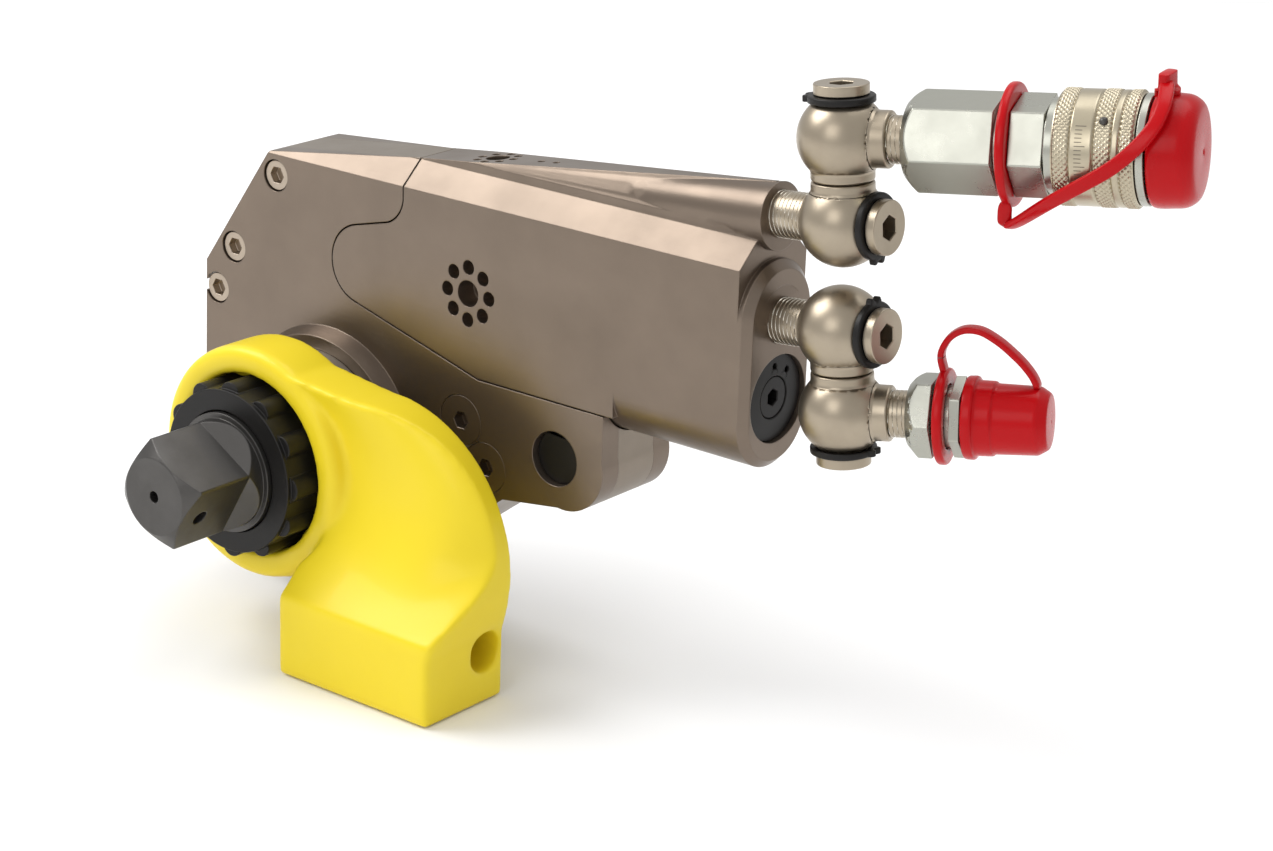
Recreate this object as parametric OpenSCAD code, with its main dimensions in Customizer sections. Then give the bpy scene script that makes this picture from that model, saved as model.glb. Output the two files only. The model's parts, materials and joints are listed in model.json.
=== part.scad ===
// Hydraulic torque wrench with a square drive, a reaction arm on a splined boss and two swivel couplings.
// Millimetres. Drive axis along -Y through the origin, outer face of the near side plate at y = 0,
// +X towards the hose end, +Z up.

/* [Part] */
// Sub-part to build, or all of them

/* [Housing] */
// Width over both side plates
body_w = 33; // [30:0.5:40]
// Thickness of one side plate
plate_t = 8; // [7:0.25:9]
// Front edge of the nose, in front of the drive axis
nose_x = 58; // [56:0.5:62]
// Radius of the rounding below the nose
nose_r = 52; // [50:0.5:54]
// Height of the sloping top above the drive axis
top_z = 93.4; // [92:0.2:95]
// Slope of the top, in degrees
top_slope = 7; // [6:0.25:8]
// Height where the long edge chamfer starts
strip_z = 89.5; // [88:0.25:90]
// Depth of the long edge chamfer
strip_d = 8; // [7:0.25:9]
// Rear end of the side plates
tail_x = 113.5; // [112:0.5:116]
// Rounding at the tail's lower corner
tail_r = 15; // [10:0.5:18]
// Seam between side plates and cylinder head
seam = 0.5; // [0.3:0.05:0.8]

/* [Cylinder head] */
// Rear face of the cylinder head
head_x = 165; // [163:0.5:170]
// Radius of the head's round front end
front_r = 13.3; // [12:0.1:14]
// Height of the head's round front end
front_z = 60.5; // [59:0.25:62]
// Distance of the head's round front end behind the drive axis
front_x = 14; // [13:0.25:16]
// Underside of the head along the side plates
head_low = 33.6; // [33:0.1:35]
// Height of the cylinder bore above the drive axis
bore_z = 48; // [47:0.25:49]
// Radius of the cylinder bore
bore_r = 11.5; // [11:0.1:12]
// Radius of the piston rod
rod_r = 7; // [6:0.1:7.5]
// Centre height of the rounded underside
under_z = 43; // [42:0.25:44]
// Height of the upper oil port at the rear face
port_hi = 103; // [102:0.25:104]
// Radius of the raised lobe round the upper port
lobe_r = 10.2; // [9.5:0.1:11]

/* [Drive] */
// Square drive across flats
square_af = 25.4; // [19:0.1:26]
// Reach of the square drive from the side plate
drive_tip = 77.6; // [76:0.2:85]
// Length of the square
square_len = 24; // [22:0.5:26]
// Radius of the round drive shaft
shaft_r = 19.4; // [19:0.1:20]
// Angle of the square about the drive axis
square_turn = 15; // [0:1:45]
// Teeth of the ratchet wheel
teeth = 24; // [24:4:28]
// Outer radius of the ratchet wheel
wheel_r = 30; // [29:0.25:31]
// Depth of a ratchet tooth
tooth_d = 2.8; // [2:0.1:3]
// Lever length from the drive axis to its pin
lever_r = 52; // [51:0.25:53]
// Lever angle from upright when the piston is back
lever_rest = 30; // [28:0.5:32]
// Radius of the lever pin
pin_r = 4; // [3.5:0.1:4.2]

/* [Splined boss] */
// Radius of the boss on the side plate
boss_r = 36; // [34:0.5:37]
// Height of the boss on the side plate
boss_h = 6; // [4:0.25:8]
// Front end of the spline ring
ring_y = 46.5; // [45:0.5:48]
// Core radius of the spline ring
ring_r = 24.5; // [24:0.1:25]
// Number of spline lobes
lobes = 12; // [8:1:16]
// Radius of one spline lobe
lobe_rr = 4.1; // [3.6:0.1:4.2]

/* [Reaction arm] */
// Outer radius of the arm's hub
hub_r = 38; // [36:0.5:40]
// Front face of the arm's hub
hub_y = 37.4; // [36:0.2:39]
// Rear face of the arm
arm_back = 17; // [15:0.5:19]
// Radius of the arm's curved outline
sweep_r = 49.7; // [48:0.1:51]
// Centre of the curved outline behind the drive axis
sweep_x = 43.4; // [42:0.2:45]
// Centre of the curved outline below the drive axis
sweep_z = 19.7; // [19:0.1:21]
// Front face of the foot
foot_y = 53; // [51:0.5:56]
// Lower face of the foot
foot_low = 58.5; // [56:0.5:60]
// Upper edge of the foot's front face
foot_top = 33; // [31:0.5:35]
// Left end of the foot behind the drive axis
foot_x0 = 28; // [26:0.5:30]
// Right end of the foot behind the drive axis
foot_x1 = 90; // [88:0.5:92]

/* [Swivels] */
// Radius of a swivel ball
ball_r = 12.95; // [12.5:0.05:13.2]
// Distance between the two balls of a swivel
ball_gap = 24.25; // [24:0.05:25]
// Radius of a swivel post and its port thread
post_r = 6.85; // [6.5:0.05:7]
// Reach of the upper swivel's first ball behind the head
upper_out = 19.6; // [18:0.2:23]
// Height of the upper first ball
upper_z = 105.7; // [105:0.1:107]
// Tilt of the upper port, in degrees
upper_tilt = 5; // [4:0.25:8]
// Turn of the upper coupling about its post
upper_turn = 17; // [0:0.5:40]
// Reach of the lower swivel's first ball behind the head
lower_out = 21; // [19:0.2:24]
// Height of the lower first ball
lower_z = 74; // [73:0.1:75]
// Tilt of the lower port, in degrees
lower_tilt = 5; // [3:0.25:6]
// Turn of the lower coupling about its post
lower_turn = 21; // [0:0.5:40]

/* [Couplings] */
// Across flats of the upper hexagon
upper_af = 25.4; // [24:0.1:27]
// Radius of the upper locking sleeve
sleeve_r = 16.3; // [15.5:0.1:17]
// Across flats of the lower hexagon
lower_af = 22; // [21:0.1:23]
// Radius of the upper dust cap
upper_cap_r = 15.2; // [14.5:0.1:16]
// Radius of the lower dust cap
lower_cap_r = 10.8; // [10.2:0.1:11.2]

/* [Hidden] */
$fn = 64;
run = 0.06;
slip = 0.15;
fit = 0.02;
over = 1;
draft = 1;
deep = 10;
holder_pin_r = 5;
anchor_r = 4;
room_low = 20;
room_top = 63.5;
screw_sink = 0.6;
screw_key = 2.9;
plug_key = 3;
post_key = 3.7;
cap_key = 2.6;
post_head_r = 8;
post_bore = 2.5;
post_seat_r = 9.4;
waist_r = 9.2;
outlet_r = 8.2;
outlet_end = 14.6;
upper_tail = 32;
lower_tail = 31;
second_tail = 16;
gallery_r = 1.8;
seal_t = 2.8;
seal_h = 2.1;
groove_gap = 0.1;
gland_groove = 6;
piston_groove = 8;
rod_step = 2;
rod_seat = 5;
tooth_gap = 0.2;
wire_r = 0.55;
coil_pitch = 1.25;
coil_r = 0.8;
far = 300;
mid_y = body_w / 2;
core_w = body_w - 2 * plate_t;
far_y = body_w - plate_t;
top_rise = tan(top_slope);
strip_rise = 0.925;
strip_top = strip_z + strip_d * strip_rise;
lever_t = 3.4;
lever_gap = 0.3;
wheel_y = plate_t + lever_gap + lever_t + lever_gap;
wheel_w = body_w - 2 * wheel_y;
pawl_y = wheel_y + 0.2;
pawl_w = wheel_w - 3;
pin_x = lever_r * sin(lever_rest);
pin_z = lever_r * cos(lever_rest);
seat_x = 31;
seat_r = 10;
line_low = 15;
line_up = 14.4;
plug_r = 8.2;
plug_a = [56.2, 18.9];
plug_b = [66.6, 5.7];
hole_c = [94.5, 15.7];
hole_r = 8.8;
screw_at = [[-24, 82.5], [-43.3, 54.8], [-51.2, 39.2]];
screw_head_r = 4.9;
screw_head_h = 5.5;
screw_shank_r = 3;
grip_x = 58.5;
grip_z = 60.7;
grip_pcd = 8.4;
grip_hole = 2.3;
grip_thread = 4.2;
grip_depth = 5;
grip_bore = 7.4;
cap_r = 13.5;
cap_len = 14;
cap_x = head_x - cap_len;
upper_x = head_x + upper_out;
lower_x = head_x + lower_out;
cap_sink = 1.6;
cap_plug_r = 6.35;
barrel_x = 74;
gland_x0 = 69;
gland_x1 = 80;
gland_r = 13;
piston_len = 21;
piston_x = cap_x - piston_len - 2;
bush_r = 21.4;
tail_bush_r = 16.4;
journal_r = 14;
steep = 101.5 - 90;
pawl_at = 78;
pawl_r = 37.5;
pawl_lift = 15;
swing_step = 2.5;
holder_lift = 7;
holder_step = 1.75;
holder_gap = 0.6;
pawl_pin_r = 2.5;
holder_nose = 41.5;
spline_pitch = ring_r + 0.5;
spline_root = spline_pitch + 1.6;
collar_y = ring_y + 1.5;
collar_front = boss_h + 6;
collar_r = 31;
nipple_0 = 14.8;
face_gap = 0.3;
ring_seat = 2;
nipple_root = 9.2;
nipple_end = 28;
oil_r = 2.6;
chamfer = 3.5;
hex_0 = 20;
hex_1 = 46.3;
neck_r = 11.3;
nut_0 = 51;
nut_1 = 60.6;
core_tail = 48;
core_tail_r = 10;
core_r = 13.4;
sleeve_0 = 63.4;
sleeve_1 = 86;
flange_0 = 86.3;
flange_1 = 88.6;
flange_r = 15.4;
upper_nose = 98.5;
upper_nose_r = 12.4;
upper_cap_0 = 89;
upper_cap_1 = 102;
upper_ring_0 = 48.2;
upper_ring_w = 2.6;
upper_ring_r = 17.3;
band_y = 22;
band_t = 2;
band_h = 4;
band_low = 15;
band_len = 50;
band_turn = 33;
lower_hex_1 = 27.6;
lower_neck_r = 9;
collar_0 = 33;
collar_1 = 36;
collar_af = 20.6;
lower_nose = 56;
lower_nose_r = 8.1;
lower_cap_0 = 36.4;
lower_cap_1 = 60.6;
lower_ring_0 = 28.7;
lower_ring_w = 2.8;
lower_ring_r = 14;
loop_x = 42.3;
loop_z = 11.4;
loop_r = 14.6;
loop_t = 2.4;
loop_w = 5;

// Side-profile drawing (x right, z up) given a thickness along y
module slab(y0, h) {
  translate([0, y0 + h, 0])
    rotate([90, 0, 0])
      linear_extrude(height = h)
        children();
}

// Cross-section drawing (y, z) given a length along x
module along_x(x0, len) {
  translate([x0, 0, 0])
    rotate([90, 0, 90])
      linear_extrude(height = len)
        children();
}

// Round bar along y
module bar_y(x, z, y0, y1, r) {
  translate([x, y1, z])
    rotate([90, 0, 0])
      cylinder(h = y1 - y0, r = r);
}

// Round bar along x
module bar_x(x0, x1, y, z, r) {
  translate([x0, y, z])
    rotate([0, 90, 0])
      cylinder(h = x1 - x0, r = r);
}

// Cone along x
module cone_x(x0, x1, r0, r1) {
  translate([x0, 0, 0])
    rotate([0, 90, 0])
      cylinder(h = x1 - x0, r1 = r0, r2 = r1);
}

// Hexagon bar along x with one flat turned by a given angle
module hex_x(x0, x1, af, turn) {
  translate([x0, 0, 0])
    rotate([turn, 0, 0])
      rotate([0, 90, 0])
        cylinder(h = x1 - x0, r = af / sqrt(3), $fn = 6);
}

// Everything above the sloping top
module above_top() {
  translate([0, -far / 2, top_z])
    rotate([0, -top_slope, 0])
      translate([-far, 0, 0])
        cube([2 * far, far, far]);
}

// Both long edge chamfers, as the wedges that are cut away
module strips() {
  for (side = [0, 1])
    translate([0, side * body_w, 0])
      mirror([0, side, 0])
        along_x(-far / 2, 2 * far)
          polygon([[-2, strip_z - 2 * strip_rise], [-2, far], [strip_d, far], [strip_d, strip_top]]);
}

// Side outline of the cylinder head, drawn back by the seam
module head_side(g) {
  inset = 4;
  bite = 0.1;
  r = front_r - g;
  low = [front_x - r * sin(line_low), front_z - r * cos(line_low)];
  up = [front_x - r * sin(line_up), front_z + r * cos(line_up)];
  bend_x = low[0] + (low[1] - head_low - g) / tan(line_low);
  step_x = seat_x + g;
  corner_z = up[1] + (step_x - up[0]) * tan(line_up);
  fillet_r = seat_r + g;
  fillet_z = corner_z - fillet_r * tan(line_up) + fillet_r / cos(line_up);
  translate([front_x, front_z])
    circle(r = r);
  polygon([up, [step_x, corner_z], [step_x, far / 2], [head_x - inset, far / 2], [head_x - inset, head_low + g],
           [bend_x, head_low + g], low]);
  difference() {
    polygon([[step_x - fillet_r * (1 - sin(line_up)), fillet_z - fillet_r * cos(line_up)],
             [step_x + 1, corner_z - 1], [step_x + 1, fillet_z], [step_x, fillet_z]]);
    translate([step_x - fillet_r, fillet_z])
      circle(r = fillet_r + bite);
  }
}

// Side outline of a plate before the head is taken out
module link_side() {
  lean = [-56, 48];
  crown_x = -27;
  nose_c = nose_r - nose_x;
  bite = 1;
  knee = [74, -3];
  span = norm([knee[0] - nose_c, knee[1]]);
  aim = atan2(knee[1], knee[0] - nose_c) - acos(nose_r / span);
  touch = [nose_c + (nose_r - bite) * cos(aim), (nose_r - bite) * sin(aim)];
  heel = [tail_x - tail_r, tail_r];
  translate([nose_c, 0])
    circle(r = nose_r);
  translate(heel)
    circle(r = tail_r);
  polygon([[crown_x, top_z + crown_x * top_rise], lean, [-nose_x + bite, 4], [nose_c, -10], touch, knee,
           [heel[0], bite / 2], heel, [tail_x - bite / 2, tail_r], [tail_x - bite / 2, far / 2],
           [crown_x, far / 2]]);
}

// Rounded lower barrel of the cylinder head with a given allowance
module barrel(x0, x1, extra) {
  bar_x(x0, x1, mid_y, under_z, mid_y + extra);
}

// A plate blank: outline, seam to the head, sloping top, chamfer and barrel
module link_blank(y0, h) {
  difference() {
    slab(y0, h)
      difference() {
        link_side();
        head_side(0);
      }
    above_top();
    strips();
    barrel(barrel_x - 2, head_x, seam);
  }
}

// Holes that go through both plates
module plate_holes(y0, y1) {
  bar_y(plug_a[0], plug_a[1], y0, y1, plug_r + slip);
  bar_y(plug_b[0], plug_b[1], y0, y1, plug_r + slip);
  bar_y(hole_c[0], hole_c[1], y0, y1, hole_r);
}

// Near side plate with the round boss for the reaction member
module near_plate() {
  color([0.51, 0.46, 0.41])
    difference() {
      union() {
        link_blank(0, plate_t);
        rotate([90, 0, 0])
          cylinder(h = boss_h, r1 = boss_r + draft, r2 = boss_r - draft);
      }
      bar_y(0, 0, -boss_h - over, plate_t + over, ring_r + fit);
      plate_holes(-over, plate_t + over);
      for (p = screw_at) {
        bar_y(p[0], p[1], -over, screw_head_h + screw_sink + 0.2, screw_head_r + 0.4);
        bar_y(p[0], p[1], -over, plate_t + over, screw_shank_r + slip);
      }
    }
}

// Far side plate with the seat of the shaft's tail bush
module far_plate() {
  color([0.51, 0.46, 0.41])
    difference() {
      link_blank(far_y, plate_t);
      bar_y(0, 0, far_y - over, body_w + over, tail_bush_r + fit);
      bar_y(plug_a[0], plug_a[1], far_y - over, body_w + over, holder_pin_r + slip);
      bar_y(plug_b[0], plug_b[1], far_y - over, body_w + over, anchor_r + slip);
      bar_y(hole_c[0], hole_c[1], far_y - over, body_w + over, hole_r);
      for (p = screw_at)
        bar_y(p[0], p[1], far_y - over, body_w - 2, screw_shank_r + 0.05);
    }
}

// Middle frame between the plates, open for the ratchet, lever and pawls
module core_block() {
  room = wheel_r + 2;
  back_x = 70;
  back_z = [8, 40];
  front = room - 2;
  heel = [room, -6];
  color([0.58, 0.53, 0.47])
    difference() {
      link_blank(plate_t, core_w);
      slab(plate_t - over, core_w + 2) {
        circle(r = room);
        polygon([[-front, 0], [-front, room_top], [seat_x, room_top], [back_x, back_z[1]],
                 [back_x, back_z[0]], heel]);
      }
      bar_y(plug_b[0], plug_b[1], plate_t - over, far_y + over, anchor_r + slip);
      bar_y(hole_c[0], hole_c[1], plate_t - over, far_y + over, hole_r);
      for (p = screw_at)
        bar_y(p[0], p[1], plate_t - over, far_y + over, screw_shank_r + slip);
    }
}

// Handle socket: a thread surrounded by a ring of locating holes, drilled along -Z
module grip_holes() {
  translate([0, 0, -grip_bore])
    cylinder(h = grip_bore + grip_depth, r = grip_thread);
  for (k = [0:7])
    rotate([0, 0, 45 * k])
      translate([grip_pcd, 0, -grip_depth])
        cylinder(h = 2 * grip_depth, r = grip_hole);
}

// Rear flange of the head: two round ends, flat sides, bevelled edge
module rear_flange() {
  bevel = 2.5;
  crown = 73.5;
  for (z = [under_z, crown]) {
    bar_x(head_x - 25, head_x - bevel, mid_y, z, mid_y);
    translate([0, mid_y, z])
      cone_x(head_x - bevel, head_x, mid_y, mid_y - bevel);
  }
  translate([0, 0, under_z])
    linear_extrude(height = crown - under_z)
      polygon([[head_x - 25, 0], [head_x - bevel, 0], [head_x, bevel], [head_x, body_w - bevel],
               [head_x - bevel, body_w], [head_x - 25, body_w]]);
}

// Lobe round the upper port: a cone that swells out of the shoulders just under the sloping top
module upper_lobe() {
  len = 85;
  front_r = 6;
  rise = 4.15;
  translate([head_x - 2, mid_y, port_hi])
    rotate([0, 90 - rise, 0])
      translate([0, 0, -len])
        cylinder(h = len, r1 = front_r, r2 = lobe_r);
}

// Cylinder head: bore, rod room, oil ports, handle sockets
module cylinder_head() {
  room_x = gland_x0 - 1;
  tapped = [1.2, 4];
  tapped_x = [17.5, 23.5];
  upper_hole = 60;
  upper_gallery = [110, 50, 2];
  lower_hole = 33;
  lower_seat = [20.5, 3.6];
  rise_back = [30, 102];
  under = 5;
  shoulder_z = 99.5;
  shoulder_turn = 60;
  color([0.51, 0.46, 0.41])
    difference() {
      union() {
        difference() {
          slab(0, body_w)
            head_side(seam);
          above_top();
          strips();
          for (side = [0, 1])
            translate([0, side * body_w, 0])
              mirror([0, side, 0])
                intersection() {
                  translate([-far, strip_d, shoulder_z])
                    rotate([shoulder_turn, 0, 0])
                      translate([0, -far / 4, 0])
                        cube([2 * far, far / 2, far / 4]);
                  translate([-far, strip_d - over / 2, 0])
                    cube([2 * far, far, far]);
                }
          difference() {
            translate([tail_x + 3, -over, head_low - under])
              cube([far, body_w + 2 * over, under_z - head_low + under]);
            barrel(tail_x, far, 0);
          }
        }
        barrel(barrel_x, head_x - 3, 0);
        rear_flange();
        upper_lobe();
      }
      slab(plate_t, core_w)
        polygon([[-far / 4, room_low], [-far / 4, room_top], [room_x, room_top], [room_x, room_low]]);
      bar_x(gland_x0 - 2, gland_x1, mid_y, bore_z, gland_r + fit);
      bar_x(gland_x1 - 1, cap_x + 1, mid_y, bore_z, bore_r);
      bar_x(cap_x, far, mid_y, bore_z, cap_r + fit);
      upper_frame() {
        bar_x(-upper_hole, 0, 0, 0, post_r + fit);
        bar_x(-upper_gallery[0], -upper_gallery[1], 0, 0, upper_gallery[2]);
      }
      lower_frame() {
        bar_x(-lower_hole, 0, 0, 0, post_r + fit);
        bar_x(-lower_seat[0], 0, 0, 0, post_r + lower_seat[1]);
      }
      bar_z(lower_x - rise_back[0], mid_y, bore_z, lower_z, gallery_r);
      bar_z(upper_x - rise_back[1], mid_y, bore_z, upper_z - 14, gallery_r);
      translate([grip_x, 0, grip_z])
        rotate([90, 0, 0])
          grip_holes();
      translate([grip_x - 3, mid_y, top_z + (grip_x - 3) * top_rise])
        rotate([0, -top_slope, 0]) {
          grip_holes_top();
          for (d = tapped_x)
            translate([d, 0, -tapped[1]])
              cylinder(h = 2 * tapped[1], r = tapped[0]);
        }
    }
}

// Upright drilling
module bar_z(x, y, z0, z1, r) {
  translate([x, y, z0])
    cylinder(h = z1 - z0, r = r);
}

// Handle socket on the top face, a little smaller than the side one
module grip_holes_top() {
  thread_less = 0.4;
  ring_less = 2.1;
  hole_less = 0.9;
  translate([0, 0, -2.5 * grip_depth])
    cylinder(h = 3 * grip_depth, r = grip_thread - thread_less);
  for (k = [0:7])
    rotate([0, 0, 45 * k])
      translate([grip_pcd - ring_less, 0, -grip_depth])
        cylinder(h = 2 * grip_depth, r = grip_hole - hole_less);
}

// Three socket-head screws that clamp the nose
module nose_screws() {
  color([0.78, 0.77, 0.74])
    for (p = screw_at)
      difference() {
        union() {
          bar_y(p[0], p[1], screw_sink, screw_head_h + screw_sink, screw_head_r);
          bar_y(p[0], p[1], screw_head_h, body_w - 4, screw_shank_r);
        }
        translate([p[0], 3.4, p[1]])
          rotate([90, 0, 0])
            cylinder(h = deep, r = screw_key, $fn = 6);
      }
}

// Flush pivot plug with a hexagon socket
module flush_plug(p, shank) {
  difference() {
    union() {
      bar_y(p[0], p[1], 0.1, plate_t - 0.5, plug_r);
      bar_y(p[0], p[1], plate_t - over, body_w - over, shank);
    }
    translate([p[0], 4, p[1]])
      rotate([90, 0, 0])
        cylinder(h = deep, r = plug_key, $fn = 6);
  }
}

// Pivot of the holding pawl
module pawl_pin() {
  color([0.52, 0.47, 0.41])
    flush_plug(plug_a, holder_pin_r);
}

// Second flush plug, which stops the pawl's spring
module anchor_pin() {
  color([0.52, 0.47, 0.41])
    flush_plug(plug_b, anchor_r);
}

// Black pin that joins plates and core at the tail
module tail_pin() {
  pin_sink = 2.5;
  color([0.03, 0.03, 0.03])
    bar_y(hole_c[0], hole_c[1], pin_sink, body_w - pin_sink, hole_r - 0.05);
}

// Black spline ring that carries the reaction arm
module spline_ring() {
  lead = 1.5;
  lip = 5;
  color([0.05, 0.05, 0.05])
    difference() {
      union() {
        bar_y(0, 0, -collar_front - 0.5, plate_t - 0.4, ring_r);
        bar_y(0, 0, -ring_y, -collar_front - 0.1, spline_root);
        for (k = [0:lobes - 1])
          rotate([0, 360 / lobes * k, 0])
            bar_y(spline_pitch, 0, -ring_y + lead, -collar_front - 0.6, lobe_rr);
      }
      bar_y(0, 0, -ring_y + lip, plate_t, bush_r + fit);
      bar_y(0, 0, -ring_y - over, plate_t, shaft_r + 0.3);
    }
}

// Bright collar between the boss and the spline lobes
module spline_collar() {
  color([0.66, 0.63, 0.66])
    difference() {
      bar_y(0, 0, -collar_front, -boss_h - 0.1, collar_r);
      bar_y(0, 0, -collar_front - 1, 0, ring_r + 0.05);
    }
}

// Bronze bush in the spline ring
module drive_bush() {
  color([0.62, 0.45, 0.22])
    difference() {
      bar_y(0, 0, -ring_y + 5.2, plate_t - 0.4, bush_r);
      bar_y(0, 0, -ring_y, plate_t, shaft_r + run);
    }
}

// Bronze bush at the shaft's tail
module tail_bush() {
  color([0.62, 0.45, 0.22])
    difference() {
      bar_y(0, 0, far_y + 0.2, body_w - 2, tail_bush_r);
      bar_y(0, 0, far_y, body_w, journal_r + run);
    }
}

// Gland that guides the rod
module gland() {
  x0 = gland_x0 + gland_groove;
  color([0.62, 0.45, 0.22])
    difference() {
      bar_x(gland_x0, gland_x1 - 0.2, mid_y, bore_z, gland_r);
      bar_x(gland_x0 - 1, gland_x1 + 1, mid_y, bore_z, rod_r + run);
      bar_x(x0, x0 + seal_t + 2 * groove_gap, mid_y, bore_z, rod_r + seal_h + groove_gap);
    }
}

// Rod seal in the gland
module gland_seal() {
  x0 = gland_x0 + gland_groove + groove_gap;
  color([0.04, 0.04, 0.04])
    difference() {
      bar_x(x0, x0 + seal_t, mid_y, bore_z, rod_r + seal_h);
      bar_x(x0 - over, x0 + seal_t + over, mid_y, bore_z, rod_r + run);
    }
}

// Screwed end cap of the cylinder
module end_cap() {
  color([0.14, 0.13, 0.12])
    difference() {
      bar_x(cap_x + 0.2, head_x - cap_sink, mid_y, bore_z, cap_r);
      bar_x(cap_x + 4, head_x, mid_y, bore_z, cap_plug_r + 0.15);
      for (a = [50, 90])
        translate([0, mid_y, bore_z])
          rotate([a, 0, 0])
            bar_x(head_x - cap_sink - 2, head_x, 9.6, 0, 0.9);
    }
}

// Bleed plug in the middle of the end cap
module end_plug() {
  color([0.14, 0.13, 0.12])
    difference() {
      bar_x(cap_x + 4.2, head_x - cap_sink - 0.2, mid_y, bore_z, cap_plug_r);
      translate([head_x - 6, mid_y, bore_z])
        rotate([0, 90, 0])
          cylinder(h = deep, r = cap_key, $fn = 6);
    }
}

// Swivel frames: first ball at the origin, +X along the port, +Z along the second post
module upper_frame() {
  translate([upper_x, mid_y, upper_z])
    rotate([0, -upper_tilt, 0])
      children();
}

module lower_frame() {
  translate([lower_x, mid_y, lower_z])
    rotate([0, -lower_tilt, 0])
      children();
}

// Coupling frames: second ball at the origin, +X along the coupling
module upper_line() {
  upper_frame()
    translate([0, 0, ball_gap])
      rotate([0, 0, upper_turn])
        children();
}

module lower_line() {
  lower_frame()
    translate([0, 0, -ball_gap])
      rotate([0, 0, lower_turn])
        children();
}

// Hollow post: thread, journal and a head with a hexagon socket, along +X
module post(tail) {
  head_x0 = ball_r - 0.5;
  head_t = 3.2;
  difference() {
    union() {
      bar_x(-tail, head_x0 + 1, 0, 0, post_r - fit);
      bar_x(head_x0 + groove_gap, head_x0 + head_t, 0, 0, post_head_r);
    }
    bar_x(-tail - over, head_x0 - 2, 0, 0, post_bore);
    translate([head_x0 - 3, 0, 0])
      rotate([0, 90, 0])
        cylinder(h = deep, r = post_key, $fn = 6);
  }
}

// Black retaining ring under a post head
module post_ring() {
  difference() {
    bar_x(ball_r - 1.9, ball_r - 0.55, 0, 0, 9.2);
    bar_x(ball_r - 3, ball_r + 1, 0, 0, post_r + 0.1);
  }
}

module upper_port_post() {
  color([0.55, 0.51, 0.46])
    upper_frame()
      post(upper_tail);
}

module lower_port_post() {
  color([0.55, 0.51, 0.46])
    lower_frame()
      post(lower_tail);
}

module port_rings() {
  color([0.04, 0.04, 0.04]) {
    upper_frame()
      post_ring();
    lower_frame()
      post_ring();
  }
}

// Ball body: flat towards its partner, bored for the post, second drilling crosswise
module ball_blank() {
  difference() {
    union() {
      rotate([0, 90, 0])
        sphere(r = ball_r);
      cylinder(h = ball_gap / 2, r = waist_r);
    }
    translate([-far / 2, -far / 2, (ball_gap - face_gap) / 2])
      cube([far, far, far]);
    bar_x(-2 * ball_r, ball_r - ring_seat, 0, 0, post_r + run);
    bar_x(ball_r - ring_seat, 2 * ball_r, 0, 0, post_seat_r);
  }
}

// First ball: turns on the port post and carries the second post
module ball_one() {
  difference() {
    ball_blank();
    translate([0, 0, ball_gap - second_tail - 0.25])
      cylinder(h = deep, r = post_r + fit);
  }
}

module upper_ball_one() {
  color([0.55, 0.51, 0.46])
    upper_frame()
      ball_one();
}

module lower_ball_one() {
  color([0.55, 0.51, 0.46])
    lower_frame()
      mirror([0, 0, 1])
        ball_one();
}

// Second post, from the first ball through the second
module post_two() {
  translate([0, 0, ball_gap])
    rotate([0, -90, 0])
      post(second_tail);
}

module upper_post_two() {
  color([0.55, 0.51, 0.46])
    upper_frame()
      post_two();
}

module lower_post_two() {
  color([0.55, 0.51, 0.46])
    lower_frame()
      mirror([0, 0, 1])
        post_two();
}

module upper_post_ring() {
  color([0.04, 0.04, 0.04])
    upper_frame()
      translate([0, 0, ball_gap])
        rotate([0, -90, 0])
          post_ring();
}

module lower_post_ring() {
  color([0.04, 0.04, 0.04])
    lower_frame()
      mirror([0, 0, 1])
        translate([0, 0, ball_gap])
          rotate([0, -90, 0])
            post_ring();
}

// Second ball in a coupling frame: outlet along +X
module ball_two() {
  difference() {
    union() {
      sphere(r = ball_r);
      translate([0, 0, -ball_gap / 2])
        cylinder(h = ball_gap / 2, r = waist_r);
      bar_x(0, outlet_end, 0, 0, outlet_r);
    }
    translate([-far / 2, -far / 2, -far - (ball_gap - face_gap) / 2])
      cube([far, far, far]);
    translate([0, 0, -2 * ball_r])
      cylinder(h = 3 * ball_r - ring_seat, r = post_r + run);
    translate([0, 0, ball_r - ring_seat])
      cylinder(h = ball_r, r = post_seat_r);
    bar_x(nipple_root - 0.2, outlet_end + over, 0, 0, post_r - 0.5);
  }
}

module upper_ball_two() {
  color([0.55, 0.51, 0.46])
    upper_line()
      ball_two();
}

module lower_ball_two() {
  color([0.55, 0.51, 0.46])
    lower_line()
      mirror([0, 0, 1])
        ball_two();
}

// Short threaded nipple
module nipple() {
  difference() {
    union() {
      bar_x(nipple_root, nipple_0 + 0.1, 0, 0, post_r - 0.55);
      bar_x(nipple_0, nipple_end, 0, 0, post_r);
    }
    bar_x(0, far, 0, 0, oil_r);
  }
}

module upper_nipple() {
  color([0.62, 0.59, 0.54])
    upper_line()
      nipple();
}

module lower_nipple() {
  color([0.72, 0.71, 0.68])
    lower_line()
      nipple();
}

// Hexagon between two stations, its first corners turned off by a cone
module hex_head(x0, x1, af, turn) {
  edge = af / sqrt(3);
  intersection() {
    hex_x(x0, x1, af, turn);
    union() {
      cone_x(x0, x0 + chamfer, edge - chamfer, edge + 0.1);
      bar_x(x0 + chamfer, x1, 0, 0, edge + 1);
    }
  }
}

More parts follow.
